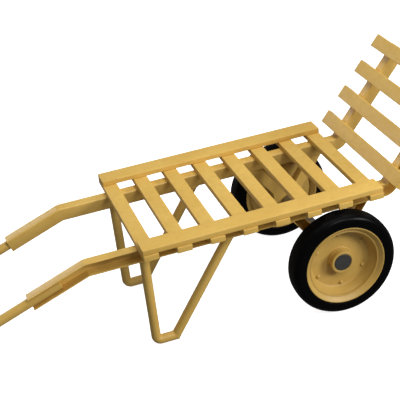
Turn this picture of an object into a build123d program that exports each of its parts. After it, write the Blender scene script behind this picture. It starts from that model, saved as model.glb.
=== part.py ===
from build123d import *
from math import atan2, cos, radians, sin, tan
import os

# Two-wheeled platform barrow with a slatted deck, a slatted headboard that leans
# away from the handles, pressed-steel wheels on a fixed through axle, and a tubular
# leg under each rail.  X runs from the handles to the headboard, Y to the left
# (the +Y wheel is the left wheel), Z up.  The ground is Z = 0.  All sizes in mm.

os.makedirs("parts", exist_ok=True)

# --- driving dimensions -------------------------------------------------------

# deck
deck_length = 890.0
slat_count = 8
slat_length = 648.0
slat_width = 54.0
slat_thickness = 22.0
strip_width = 78.0
strip_thickness = 20.0
strip_setback = 5.0          # strip edge to slat end
board_chamfer = 1.5

# channel rails
rail_height = 50.0
rail_flange = 44.0
rail_wall = 4.0
rail_inset = 132.0           # slat end to the inner face of the web
bend_inner_radius = 10.0
handle_bend_to_deck = 187.0  # handle bend to the rear end of the deck
handle_length = 228.0        # handle bend to the end of the channel
handle_drop_angle = 20.0     # degrees below level
headboard_bend_to_deck = 51.0
headboard_lean = 40.0        # degrees from upright
upright_length = 430.0       # headboard bend to the top of the channel

# headboard
headboard_slat_count = 4
headboard_slat_pitch = 119.0
headboard_first_slat = 18.0  # headboard bend to the lowest slat

# hand grips
grip_diameter = 35.0
grip_wall = 3.0
grip_nested_length = 122.0
grip_free_length = 190.0
plug_head = 6.0
plug_round = 4.5             # round on the plug's rim
plug_spigot = 25.0

# legs
leg_diameter = 35.0
leg_wall = 3.0
leg_inset = 22.0             # rear end of the deck to the middle of the leg
leg_bend_radius = 20.0
foot_reach = 74.0            # leg to the foot of the brace
brace_reach = 318.0          # leg to the top of the brace

# wheels
wheel_diameter = 400.0
slat_clearance = 21.0        # top of the tyre to the deck slats
rail_clearance = 28.0        # inner side of the tyre to the rail
tyre_width = 84.0
tyre_depth = 47.5            # rubber beyond the rim's lip
tyre_shoulder = 22.0
bead_slope = 3.0
lip_width = 3.5
flare_width = 16.0           # lip to the rim's base, measured radially
flare_depth = 15.5           # lip to the rim's base, measured along the axle
rim_wall = 3.0
lip_setback = 2.0            # lip face to the side of the tyre
sheet = 3.0
disc_stand = 1.5             # edge of the outer disc past the foot of the rim's flare
weld_land = 9.0              # straight edge of a disc against the rim
land_bend = 6.0
inner_disc_setback = 2.5     # inner disc to the foot of the rim's flare
dish_slope = 18.0            # rim's base to the foot of the dish, measured radially
dish_bend = 10.0
inner_bend = 8.0
rivet_inset = 13.5           # foot of the dish to the rivet circle
rivet_count = 6
rivet_diameter = 8.0
rivet_head_diameter = 13.0
rivet_head_height = 5.0
rivet_head_round = 0.9       # share of the head's height
rivet_tail = 2.0

# hub, axle and end caps
axle_from_rear = 720.0
axle_diameter = 60.0
axle_wall = 5.0
bush_wall = 3.9
hub_wall = 10.0
hub_neck = 13.0
neck_bend = 6.0
hub_nose_depth = 25.0        # lip face to the nose of the hub
hub_inner_stand = 4.0        # hub past the inner side of the tyre
hub_nose_round = 3.0
cap_gap = 1.0                # radial, in the hub's bore
cap_thickness = 3.0
cap_setback = 0.8
cap_edge_round = 1.2
cap_spigot = 22.0
spacer_wall = 6.0
set_screw_diameter = 8.0
set_screw_socket = 5.0

# axle hangers
hanger_top_length = 298.0
hanger_window_length = 202.0
hanger_depth = 40.0
hanger_wall = 4.0
hanger_boss_width = 26.0     # plate round the axle housing
hanger_shoulder_drop = 11.0  # shoulder below the top of the boss
hanger_window_dip = 3.0      # sharp foot of the window below the top of the housing
hanger_window_round = 12.0
housing_wall = 4.0

# screws
screw_diameter = 5.0
screw_head_diameter = 10.0
screw_head_height = 3.0
screw_bite = 16.0            # depth in the wood

# clearances
seat_gap = 0.3               # between round pieces and what they are welded or set in
running_gap = 0.05           # radial, bush on axle
end_play = 0.4               # between the wheel and what holds it endways
screw_gap = 0.05             # radial, in wood
screw_play = 0.4             # radial, in steel
drill_past = 1.0             # drilled past the screw's point

# --- places worked out from the driving dimensions -----------------------------

slat_pitch = (deck_length - slat_width) / (slat_count - 1)
rail_top = wheel_diameter + slat_clearance
slat_top = rail_top + slat_thickness
rail_bottom = rail_top - rail_height
rail_middle = rail_top - rail_height / 2
bend_radius = bend_inner_radius + rail_height / 2
axle_height = wheel_diameter / 2
web_y = slat_length / 2 - rail_inset
wheel_track = 2 * (web_y + rail_flange + rail_clearance) + tyre_width
flange_middle_y = web_y + (rail_wall + rail_flange) / 2
lip_face = tyre_width / 2 - lip_setback

drop = radians(handle_drop_angle)
lean = radians(headboard_lean)
rise = radians(90 - headboard_lean)
along_handle = Vector(-cos(drop), 0, -sin(drop))
below_handle = Vector(sin(drop), 0, -cos(drop))
along_upright = Vector(sin(lean), 0, cos(lean))
behind_upright = Vector(cos(lean), 0, -sin(lean))

# The origin is midway between the two ends of the barrow.
handle_bend_x = -handle_bend_to_deck
headboard_bend_x = deck_length + headboard_bend_to_deck
grip_axis_depth = rail_height / 2
grip_end_x = (handle_bend_x - plug_round
              - (handle_length + grip_free_length + plug_head - plug_round) * cos(drop)
              + (grip_axis_depth - grip_diameter / 2 + plug_round) * sin(drop))
upright_top_x = headboard_bend_x + upright_length * sin(lean) + rail_height * cos(lean)
rear_x = -(grip_end_x + upright_top_x) / 2
axle_x = rear_x + axle_from_rear
axle_line = Axis((axle_x, 0, axle_height), (0, 1, 0))

handle_corner = Vector(rear_x + handle_bend_x, 0, rail_top)
headboard_corner = Vector(rear_x + headboard_bend_x, 0, rail_top)
slat_centres = [rear_x + slat_width / 2 + i * slat_pitch for i in range(slat_count)]
headboard_steps = [headboard_first_slat + slat_width / 2 + i * headboard_slat_pitch
                   for i in range(headboard_slat_count)]
strip_y = slat_length / 2 - strip_setback - strip_width / 2
sides = {"right": -1, "left": 1}


def keep(piece, label):
    """Name a finished piece and write it out."""
    piece.part.label = label
    export_step(piece.part, f"parts/{label}.step")


def ring(outer, inner):
    """Two circles about the sketch's origin, the smaller one cut out."""
    Circle(outer)
    Circle(inner, mode=Mode.SUBTRACT)


def wheel_plane(side):
    """Sketch plane of a wheel: radius along X, distance outwards from its middle along Y."""
    return Plane(origin=(axle_x, side * wheel_track / 2, axle_height),
                 x_dir=(1, 0, 0), z_dir=(0, 0, side))


def cross_plane(side, distance):
    """Plane square to the axle, facing outwards, at a distance from the middle of the barrow."""
    return Plane(origin=(axle_x, side * distance, axle_height),
                 x_dir=(1, 0, 0), z_dir=(0, side, 0))


def deck_screw_planes(y):
    """Planes facing up under every slat, at both sides of the deck."""
    return [Plane(origin=(x, side * y, 0)) for x in slat_centres for side in sides.values()]


def headboard_screw_planes():
    """Planes on the back of the upright's front flange, facing the headboard slats."""
    return [Plane(origin=headboard_corner + along_upright * step + behind_upright * rail_wall
                  + Vector(0, side * flange_middle_y, 0),
                  x_dir=(0, 1, 0), z_dir=-behind_upright)
            for step in headboard_steps for side in sides.values()]


# --- channel rails ---------------------------------------------------------------

def channel_rail(side):
    """One length of channel, open outwards: handle, deck bearer and headboard upright."""
    half = rail_height / 2
    handle_end = handle_corner + along_handle * handle_length + below_handle * half
    upright_end = headboard_corner + along_upright * upright_length + behind_upright * half
    handle_turn = Vector(handle_corner.X + half * tan(drop / 2), 0, rail_middle)
    upright_turn = Vector(headboard_corner.X + half * tan(rise / 2), 0, rail_middle)
    web = Vector(0, side * web_y, 0)
    with BuildPart() as rail:
        with BuildLine() as run:
            FilletPolyline(handle_end + web, handle_turn + web, upright_turn + web,
                           upright_end + web, radius=bend_radius)
        start = Plane(origin=handle_end + web, x_dir=(0, side, 0), z_dir=along_handle * -1)
        with BuildSketch(start):
            with Locations((rail_flange / 2, 0)):
                Rectangle(rail_flange, rail_height)
            with Locations((rail_wall + rail_flange / 2, 0)):
                Rectangle(rail_flange, rail_height - 2 * rail_wall, mode=Mode.SUBTRACT)
        sweep(path=run.wires()[0])
        with Locations(*[(x, side * flange_middle_y, rail_top) for x in slat_centres]):
            Hole(screw_diameter / 2 + screw_play, depth=rail_wall * 2)
        with Locations(*[plane for plane in headboard_screw_planes() if plane.origin.Y * side > 0]):
            Hole(screw_diameter / 2 + screw_play, depth=rail_wall * 2)
    return rail


for name, side in sides.items():
    keep(channel_rail(side), f"{name}_rail")

# --- hand grips ------------------------------------------------------------------

grip_y = web_y + rail_wall + seat_gap + grip_diameter / 2


def grip_plane(side, distance):
    """Plane square to the grip, facing its free end, at a distance from the handle bend."""
    origin = handle_corner + along_handle * distance + below_handle * grip_axis_depth
    return Plane(origin=origin + Vector(0, side * grip_y, 0),
                 x_dir=(0, 1, 0), z_dir=along_handle)


def grip_tube(side):
    """Plain tube set into the end of the channel against its web."""
    with BuildPart() as grip:
        with BuildSketch(grip_plane(side, handle_length - grip_nested_length)):
            ring(grip_diameter / 2, grip_diameter / 2 - grip_wall)
        extrude(amount=grip_nested_length + grip_free_length)
    return grip


def grip_plug(side):
    """Domed plug that closes the end of the grip."""
    with BuildPart() as plug:
        end = grip_plane(side, handle_length + grip_free_length)
        with BuildSketch(end):
            Circle(grip_diameter / 2)
        extrude(amount=plug_head)
        rim = plug.edges().filter_by(GeomType.CIRCLE).sort_by(Axis(end.origin, end.z_dir))[-1]
        fillet(rim, radius=plug_round)
        with BuildSketch(end):
            Circle(grip_diameter / 2 - grip_wall - seat_gap)
        extrude(amount=-plug_spigot)
    return plug


for name, side in sides.items():
    keep(grip_tube(side), f"{name}_grip_tube")
    keep(grip_plug(side), f"{name}_grip_plug")

# --- legs --------------------------------------------------------------------------

leg_radius = leg_diameter / 2
leg_x = rear_x + leg_inset
leg_y = web_y + leg_radius
brace_run = Vector(brace_reach - foot_reach, 0, rail_bottom - leg_radius)
brace_line = brace_run.normalized()


def foot_joint(side):
    """Plane of the mitre between the foot and the brace, facing the brace."""
    origin = Vector(leg_x + foot_reach, side * leg_y, leg_radius)
    return Plane(origin=origin, x_dir=(0, 1, 0), z_dir=(Vector(1, 0, 0) + brace_line))


def leg_tube(side):
    """Upright leg bent forwards into a level foot, mitred for the brace."""
    top = Vector(leg_x, side * leg_y, rail_bottom)
    heel = Vector(leg_x, side * leg_y, leg_radius)
    sole = Vector(leg_x + foot_reach / 2, side * leg_y, leg_radius)
    with BuildPart() as leg:
        with BuildSketch(Plane(origin=sole, x_dir=(0, 1, 0), z_dir=(1, 0, 0))):
            ring(leg_radius, leg_radius - leg_wall)
        extrude(amount=foot_reach / 2 + leg_diameter)
        split(bisect_by=foot_joint(side), keep=Keep.BOTTOM)
        with BuildLine() as run:
            FilletPolyline(top, heel, sole, radius=leg_bend_radius)
        with BuildSketch(Plane(origin=top, x_dir=(0, 1, 0), z_dir=(0, 0, -1))):
            ring(leg_radius, leg_radius - leg_wall)
        sweep(path=run.wires()[0])
    return leg


def brace_tube(side):
    """Straight tube from the end of the foot up to the rail."""
    joint = foot_joint(side)
    with BuildPart() as brace:
        with BuildSketch(Plane(origin=joint.origin - brace_line * leg_diameter,
                               x_dir=(0, 1, 0), z_dir=brace_line)):
            ring(leg_radius, leg_radius - leg_wall)
        extrude(amount=brace_run.length + 3 * leg_diameter)
        split(bisect_by=joint, keep=Keep.TOP)
        split(bisect_by=Plane.XY.offset(rail_bottom), keep=Keep.BOTTOM)
    return brace


for name, side in sides.items():
    keep(leg_tube(side), f"{name}_leg_tube")
    keep(brace_tube(side), f"{name}_leg_brace")

# --- deck ----------------------------------------------------------------------------

screw_depth = screw_bite + drill_past

def board(plane, length, width, thickness, bores=()):
    """Chamfered board standing on a plane, its length along the plane's x."""
    with BuildPart() as timber:
        with BuildSketch(plane):
            Rectangle(length, width)
        extrude(amount=thickness)
        chamfer(timber.edges(), length=board_chamfer)
        for bore, depth in bores:
            with Locations(bore):
                Hole(screw_diameter / 2 + screw_gap, depth=depth)
    return timber


for i, x in enumerate(slat_centres):
    under = Plane(origin=(x, 0, rail_top), x_dir=(0, 1, 0), z_dir=(0, 0, 1))
    bores = []
    for side in sides.values():
        bores.append((Plane(origin=(x, side * flange_middle_y, rail_top)), screw_depth))
        bores.append((Plane(origin=(x, side * strip_y, rail_top)), 2 * slat_thickness))
    slat = board(under, slat_length, slat_width, slat_thickness, bores)
    keep(slat, f"deck_slat_{i + 1}")

for name, side in sides.items():
    middle = Plane(origin=(rear_x + deck_length / 2, side * strip_y, slat_top))
    bores = [(Plane(origin=(x, side * strip_y, slat_top)), screw_depth) for x in slat_centres]
    keep(board(middle, deck_length, strip_width, strip_thickness, bores), f"{name}_side_strip")

# --- headboard -------------------------------------------------------------------------

for i, step in enumerate(headboard_steps):
    seat = Plane(origin=headboard_corner + along_upright * step,
                 x_dir=(0, 1, 0), z_dir=-behind_upright)
    bores = [(Plane(origin=seat.origin + Vector(0, side * flange_middle_y, 0),
                    x_dir=(0, 1, 0), z_dir=-behind_upright), screw_depth)
             for side in sides.values()]
    keep(board(seat, slat_length, slat_width, slat_thickness, bores), f"headboard_slat_{i + 1}")

# --- wood screws ---------------------------------------------------------------------------


def screws(planes, grip):
    """Pan-head screws with their heads on the given planes, through a thickness into wood."""
    with BuildPart() as group:
        with BuildSketch(*planes):
            Circle(screw_head_diameter / 2)
        extrude(amount=-screw_head_height)
        with BuildSketch(*planes):
            Circle(screw_diameter / 2)
        extrude(amount=grip + screw_bite)
    return group


def lifted(planes, height):
    """Copies of planes moved up to a height."""
    return [Plane(origin=(p.origin.X, p.origin.Y, height), z_dir=p.z_dir) for p in planes]


keep(screws(lifted(deck_screw_planes(flange_middle_y), rail_top - rail_wall), rail_wall),
     "deck_screws")
keep(screws(lifted(deck_screw_planes(strip_y), rail_top), slat_thickness), "strip_screws")
keep(screws(headboard_screw_planes(), rail_wall), "headboard_screws")

# --- axle hangers ----------------------------------------------------------------------------

axle_radius = axle_diameter / 2
housing_bore = axle_radius + seat_gap
housing_radius = housing_bore + housing_wall
hanger_rise = rail_bottom - axle_height
boss_radius = housing_radius + seat_gap + hanger_boss_width
hanger_face = web_y + hanger_depth


def hanger(side):
    """V-shaped pan, flanged outwards all round, with a hole for the axle housing."""
    up = -side
    half_top = hanger_top_length / 2
    shoulder = boss_radius - hanger_shoulder_drop
    window_top = hanger_window_length / 2
    window_foot = housing_radius + seat_gap - hanger_window_dip
    with BuildPart() as bracket:
        with BuildSketch(cross_plane(side, web_y)) as outline:
            with BuildLine():
                Polyline((-half_top, up * hanger_rise), (-window_top, up * hanger_rise),
                         (0, up * window_foot), (window_top, up * hanger_rise),
                         (half_top, up * hanger_rise), (boss_radius, up * shoulder),
                         (boss_radius, 0), (-boss_radius, 0),
                         (-boss_radius, up * shoulder), close=True)
            make_face()
            Circle(boss_radius)
            foot = outline.vertices().sort_by_distance((0, up * window_foot))[0]
            fillet(foot, radius=hanger_window_round)
        extrude(amount=hanger_depth)
        with BuildSketch(cross_plane(side, web_y + hanger_wall)):
            add(offset(outline.sketch_local, amount=-hanger_wall, mode=Mode.PRIVATE))
        extrude(amount=hanger_depth, mode=Mode.SUBTRACT)
        with Locations(cross_plane(side, web_y)):
            Hole(housing_radius + seat_gap, depth=hanger_depth)
    return bracket


def sleeve(side, start, length, outer, inner):
    """Plain round sleeve on the axle line."""
    with BuildPart() as tube:
        with BuildSketch(cross_plane(side, start)):
            ring(outer, inner)
        extrude(amount=length)
    return tube


for name, side in sides.items():
    keep(hanger(side), f"{name}_hanger")
    keep(sleeve(side, web_y, hanger_depth, housing_radius, housing_bore), f"{name}_axle_housing")

# --- axle, end caps and spacers ------------------------------------------------------------------

hub_radius = axle_radius + bush_wall + hub_wall + 2 * running_gap
hub_inner_end = wheel_track / 2 - tyre_width / 2 - hub_inner_stand
hub_nose = wheel_track / 2 + lip_face - hub_nose_depth
cap_face = hub_nose - cap_setback
axle_end = cap_face - cap_thickness
spacer_end = hub_inner_end - end_play
spacer_middle = (hanger_face + spacer_end) / 2
spacer_radius = axle_radius + running_gap + spacer_wall


def set_screw_planes(radius):
    """Planes facing down, at a radius below the axle line, in the middle of each spacer."""
    return [Plane(origin=(axle_x, side * spacer_middle, axle_height - radius), z_dir=(0, 0, -1))
            for side in sides.values()]


with BuildPart() as axle:
    with BuildSketch(cross_plane(1, -axle_end)):
        ring(axle_radius, axle_radius - axle_wall)
    extrude(amount=2 * axle_end)
    with Locations(*set_screw_planes(axle_radius)):
        Hole(set_screw_diameter / 2 + screw_gap, depth=2 * axle_wall)
keep(axle, "axle")


def axle_cap(side):
    """Round cap that closes the axle and holds the wheel on."""
    with BuildPart() as cap:
        with BuildSketch(cross_plane(side, axle_end)):
            Circle(hub_radius - hub_wall - cap_gap)
        extrude(amount=cap_thickness)
        outward = Axis((0, 0, 0), (0, side, 0))
        fillet(cap.edges().sort_by(outward)[-1], radius=cap_edge_round)
        with BuildSketch(cross_plane(side, axle_end - cap_spigot)):
            Circle(axle_radius - axle_wall - seat_gap)
        extrude(amount=cap_spigot)
    return cap


def spacer(side):
    """Spacer that keeps the wheel clear of the hanger."""
    tube = sleeve(side, hanger_face, spacer_end - hanger_face, spacer_radius,
                  axle_radius + running_gap)
    with tube:
        with Locations(*set_screw_planes(spacer_radius)):
            Hole(set_screw_diameter / 2 + screw_gap, depth=2 * spacer_wall)
    return tube


for name, side in sides.items():
    keep(axle_cap(side), f"{name}_axle_cap")
    keep(spacer(side), f"{name}_spacer")

with BuildPart() as set_screws:
    with BuildSketch(*set_screw_planes(axle_radius - axle_wall)):
        Circle(set_screw_diameter / 2)
    extrude(amount=axle_wall + running_gap + spacer_wall)
    with BuildSketch(*set_screw_planes(spacer_radius)):
        RegularPolygon(set_screw_diameter / 4, 6)
    extrude(amount=-set_screw_socket, mode=Mode.SUBTRACT)
keep(set_screws, "spacer_set_screws")

# --- wheels ------------------------------------------------------------------------------------------

lip_radius = wheel_diameter / 2 - tyre_depth
lip_root_radius = lip_radius - lip_width
rim_base_radius = lip_root_radius - flare_width
rim_flare = atan2(flare_depth, flare_width)
dish_foot_radius = rim_base_radius - dish_slope
rivet_circle = dish_foot_radius - rivet_inset
disc_back = flare_depth + inner_disc_setback + sheet - lip_face
disc_front = disc_back + sheet
weld_radius = rim_base_radius - seat_gap
neck_radius = hub_radius + seat_gap


def rim_line(depth):
    """Half of the rim's section, from its middle to the lip, at a depth towards the tyre."""
    foot = lip_face - flare_depth - depth * tan((radians(90) - rim_flare) / 2)
    root = lip_root_radius + depth * tan(rim_flare / 2)
    return [(rim_base_radius + depth, foot), (root, lip_face - depth)]


def both_ends(points):
    """The points and their mirror images about the middle of the wheel, in one open run."""
    return points[::-1] + [(radius, -distance) for radius, distance in points]


def rim(side):
    """Rolled rim with flared sides and a lip round each edge."""
    inside = both_ends(rim_line(0) + [(lip_radius, lip_face)])
    outside = both_ends(rim_line(rim_wall) + [(lip_radius, lip_face - rim_wall)])
    with BuildPart() as channel:
        with BuildSketch(wheel_plane(side)):
            with BuildLine():
                Polyline(*inside, *outside[::-1], close=True)
            make_face()
        revolve(axis=axle_line)
    return channel


def tyre(side):
    """Solid rubber tyre with round shoulders, its bore shaped to the rim."""
    ledge = rim_wall + seat_gap
    lip_edge = lip_radius + seat_gap
    bore = both_ends(rim_line(ledge) + [(lip_edge, lip_face - ledge),
                                        (lip_edge + bead_slope, tyre_width / 2)])
    outer = wheel_diameter / 2
    with BuildPart() as rubber:
        with BuildSketch(wheel_plane(side)) as section:
            with BuildLine():
                Polyline(*bore, (outer, -tyre_width / 2), (outer, tyre_width / 2), close=True)
            make_face()
            fillet(section.vertices().group_by(Axis.X)[-1], radius=tyre_shoulder)
        revolve(axis=axle_line)
    return rubber


def pressing(side, points, radii, towards):
    """Sheet pressing turned about the axle from the line of one face and its bend radii."""
    with BuildPart() as disc:
        with BuildSketch(wheel_plane(side)):
            with BuildLine():
                line = FilletPolyline(*points, radius=radii)
                offset(line, amount=sheet, side=towards)
            make_face()
        revolve(axis=axle_line)
        with Locations(*rivet_planes(side, disc_back)):
            Hole(rivet_diameter / 2 + screw_gap, depth=2 * sheet)
    return disc


def rivet_planes(side, distance):
    """Planes facing outwards at each rivet, one of them straight above the axle."""
    face = cross_plane(side, wheel_track / 2 + distance)
    turns = [radians(90 + i * 360 / rivet_count) for i in range(rivet_count)]
    return [Plane(origin=face.from_local_coords((rivet_circle * cos(t), rivet_circle * sin(t))),
                  x_dir=(1, 0, 0), z_dir=face.z_dir) for t in turns]


def outer_disc(side):
    """Deep-dished outer disc: weld land, sloping wall, flat for the rivets, neck for the hub."""
    land = lip_face - flare_depth + disc_stand
    points = [(weld_radius, land), (weld_radius, land - weld_land),
              (dish_foot_radius, disc_back), (neck_radius, disc_back),
              (neck_radius, disc_back + hub_neck)]
    return pressing(side, points, [land_bend, dish_bend, neck_bend], Side.RIGHT)


def inner_disc(side):
    """Shallow inner disc behind the outer one, its edge turned up against the rim."""
    inside = disc_back - sheet
    points = [(weld_radius, disc_back + weld_land), (weld_radius, inside), (neck_radius, inside)]
    return pressing(side, points, [inner_bend], Side.RIGHT)


def rivets(side):
    """Round-head rivets through both discs, closed flat behind."""
    with BuildPart() as group:
        with BuildSketch(*rivet_planes(side, disc_front)):
            Circle(rivet_head_diameter / 2)
        extrude(amount=rivet_head_height)
        outward = Axis((0, 0, 0), (0, side, 0))
        fillet(group.edges().filter_by(GeomType.CIRCLE).group_by(outward)[-1],
               radius=rivet_head_height * rivet_head_round)
        with BuildSketch(*rivet_planes(side, disc_back - sheet)):
            Circle(rivet_diameter / 2)
        extrude(amount=2 * sheet)
        with BuildSketch(*rivet_planes(side, disc_back - sheet)):
            Circle(rivet_head_diameter / 2)
        extrude(amount=-rivet_tail)
    return group


def hub(side):
    """Hub barrel, bored right through for the bush and the axle cap."""
    with BuildPart() as barrel:
        with BuildSketch(cross_plane(side, hub_inner_end)):
            ring(hub_radius, hub_radius - hub_wall)
        extrude(amount=hub_nose - hub_inner_end)
        outward = Axis((0, 0, 0), (0, side, 0))
        nose = barrel.edges().group_by(outward)[-1].sort_by(SortBy.RADIUS)[-1]
        fillet(nose, radius=hub_nose_round)
    return barrel


def bush(side):
    """Plain bearing bush between the hub and the axle."""
    length = axle_end - end_play - hub_inner_end
    return sleeve(side, hub_inner_end, length, hub_radius - hub_wall - running_gap,
                  axle_radius + running_gap)


for name, side in sides.items():
    keep(tyre(side), f"{name}_tyre")
    keep(rim(side), f"{name}_rim")
    keep(outer_disc(side), f"{name}_outer_disc")
    keep(inner_disc(side), f"{name}_inner_disc")
    keep(rivets(side), f"{name}_disc_rivets")
    keep(hub(side), f"{name}_hub")
    keep(bush(side), f"{name}_bush")
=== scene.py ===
# %% [markdown]
# # A slatted platform barrow
# This barrow carries crates and sacks on an open deck of painted laths. The steel under the deck and the
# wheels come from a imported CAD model, which is loaded first as a fixed frame. Every place below is read
# from that frame, so the visible pieces fit it without any measuring by eye.

# %% The frame
import math

import bmesh
import bpy
import numpy as np
from mathutils import Matrix, Vector


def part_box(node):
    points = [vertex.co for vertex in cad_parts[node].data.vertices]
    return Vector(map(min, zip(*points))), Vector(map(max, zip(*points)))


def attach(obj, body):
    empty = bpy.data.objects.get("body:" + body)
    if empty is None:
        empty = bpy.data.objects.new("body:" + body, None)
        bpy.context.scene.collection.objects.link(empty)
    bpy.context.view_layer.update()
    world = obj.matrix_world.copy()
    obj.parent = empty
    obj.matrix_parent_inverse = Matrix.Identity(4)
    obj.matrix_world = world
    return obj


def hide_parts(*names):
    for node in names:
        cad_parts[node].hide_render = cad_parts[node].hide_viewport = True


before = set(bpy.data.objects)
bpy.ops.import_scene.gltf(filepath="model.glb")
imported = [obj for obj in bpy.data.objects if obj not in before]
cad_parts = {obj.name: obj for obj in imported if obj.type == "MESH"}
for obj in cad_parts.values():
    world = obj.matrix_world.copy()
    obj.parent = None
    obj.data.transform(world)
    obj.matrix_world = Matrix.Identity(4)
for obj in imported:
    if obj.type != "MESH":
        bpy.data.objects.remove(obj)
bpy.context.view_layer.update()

# %% [markdown]
# ## Reading places from the frame
# A box gives the lowest and highest corner of a CAD piece. The axle, the rails and the boards are all that
# is needed to place the rest, because the barrow was drawn from a few driving sizes. The left side is +Y.

# %% Places
MM = 0.001
SIDES = {"right": -1, "left": 1}


def low_high(node):
    """Lowest and highest corner of a CAD piece as two arrays."""
    low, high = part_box(node)
    return np.array(low), np.array(high)


axle_low, axle_high = low_high("axle")
axle_x = (axle_low[0] + axle_high[0]) / 2
axle_z = (axle_low[2] + axle_high[2]) / 2
slat_low, slat_high = low_high("deck_slat_1")
slat_width, slat_length, slat_thickness = slat_high - slat_low
rail_top = slat_low[2]
deck_rear = slat_low[0]
deck_front = low_high("deck_slat_8")[1][0]
print(f"axle at x {axle_x:.4f}, z {axle_z:.4f}; rails {rail_top:.3f} high")
print(f"deck {deck_front - deck_rear:.3f} long")

# %% [markdown]
# ## Helpers for shape
# Boards, rails, tubes and weld beads are all one idea: a closed outline carried along a path. Wheels are
# another: an outline turned about the axle. Both make a grid of points, and one function turns a grid into
# a mesh. Working with whole arrays keeps each shape a short formula that can be read and changed.


# %% From a grid of points to a mesh
def grid_piece(name, grid, loops_close=False):
    """Mesh of a grid (stations, points round, xyz), or of several alike (copies, stations, points, xyz).
    Each station is a closed ring. The first and last ring are capped with a flat face, unless loops_close
    joins them to each other."""
    grids = grid if grid.ndim == 4 else grid[None]
    index = np.arange(grids[..., 0].size).reshape(grids.shape[:3])
    rows = np.concatenate([index, index[:, :1]], axis=1) if loops_close else index
    here = rows[:, :-1]
    there = rows[:, 1:]
    quads = np.stack([here, np.roll(here, -1, 2), np.roll(there, -1, 2), there], axis=-1)
    faces = quads.reshape(-1, 4).tolist()
    if not loops_close:
        faces += index[:, 0, ::-1].tolist() + index[:, -1].tolist()
    mesh = bpy.data.meshes.new(name)
    mesh.from_pydata(grid.reshape(-1, 3).tolist(), [], faces)
    outward = bmesh.new()
    outward.from_mesh(mesh)
    bmesh.ops.recalc_face_normals(outward, faces=outward.faces)
    outward.to_mesh(mesh)
    outward.free()
    mesh.shade_smooth()
    mesh.set_sharp_from_angle(angle=math.radians(32))
    piece = bpy.data.objects.new(name, mesh)
    bpy.context.scene.collection.objects.link(piece)
    return piece


# %% Rounded outlines
def rounded(points, radii, steps=6, close=True):
    """Outline with an arc of the given radius at each corner. At a corner turning by angle a, the arc starts
    and ends at a distance r * tan(a / 2) from the corner and its middle lies on the corner's bisector."""
    corners = np.array(points, float)
    count = len(corners)
    sizes = np.broadcast_to(np.array(radii, float), (count,))
    outline = []
    for i, (corner, radius) in enumerate(zip(corners, sizes)):
        if radius == 0 or (not close and i in (0, count - 1)):
            outline.append(corner[None])
            continue
        back = corners[i - 1] - corner
        ahead = corners[(i + 1) % count] - corner
        back /= np.linalg.norm(back)
        ahead /= np.linalg.norm(ahead)
        half = math.acos(np.clip(back @ ahead, -1, 1)) / 2
        centre = corner + (back + ahead) / np.linalg.norm(back + ahead) * radius / math.sin(half)
        first = corner + back * radius / math.tan(half) - centre
        last = corner + ahead * radius / math.tan(half) - centre
        sweep = math.pi - 2 * half
        turn = np.linspace(0, 1, steps + 1)[:, None]
        arc = (np.sin((1 - turn) * sweep) * first + np.sin(turn * sweep) * last) / math.sin(sweep)
        outline.append(centre + arc)
    return np.vstack(outline)


# %% An outline carried along a path
def carried(name, outline, path, side, start=None, end=None, loops_close=False, scale=None):
    """Outline (across, up) carried along a flat path. side is the direction square to the path's plane:
    point = path + across * side + up * (tangent x side). start and end are planes (point, normal) that the
    first and last ring are slid onto along the path, which makes a mitre. scale sizes each ring."""
    path = np.array(path, float)
    side = np.array(side, float)
    if loops_close:
        run = np.roll(path, -1, 0) - np.roll(path, 1, 0)
    else:
        run = np.gradient(path, axis=0)
        run[0] = path[1] - path[0]
        run[-1] = path[-1] - path[-2]
    tangent = run / np.linalg.norm(run, axis=1)[:, None]
    up = np.cross(tangent, side)
    size = np.ones(len(path)) if scale is None else scale
    grid = (path[:, None] + size[:, None, None] * (outline[None, :, :1] * side
            + outline[None, :, 1:] * up[:, None]))
    for ring, plane in ((0, start), (-1, end)):
        if plane is not None:
            point, normal = (np.array(v, float) for v in plane)
            slide = ((point - grid[ring]) @ normal) / (tangent[ring] @ normal)
            grid[ring] += slide[:, None] * tangent[ring]
    return grid_piece(name, grid, loops_close)


def circle(radius, count=40):
    """Points of a circle, radius * (cos a, sin a)."""
    turn = np.linspace(0, 2 * math.pi, count, endpoint=False)
    return radius * np.stack([np.cos(turn), np.sin(turn)], axis=1)


# %% An outline turned about the axle
def turned(name, outline, side, middle, count=144, closed=True):
    """Outline (radius, distance outwards) turned about the axle line:
    point = axle + (radius * cos a, middle + side * distance, radius * sin a)."""
    turn = np.linspace(0, 2 * math.pi, count, endpoint=False)
    radius = outline[:, :1]
    grid = np.stack([axle_x + radius * np.cos(turn),
                     side * (middle + outline[:, 1:] + 0 * turn),
                     axle_z + radius * np.sin(turn)], axis=-1)
    return grid_piece(name, grid, loops_close=closed)


print("shape helpers ready")

# %% [markdown]
# ## Helpers for finish
# A finish is a small network of shader nodes. Writing its maths as Python expressions keeps it readable:
# the Value class wraps a socket, and adding or multiplying two of them adds the Math node for it.


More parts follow.
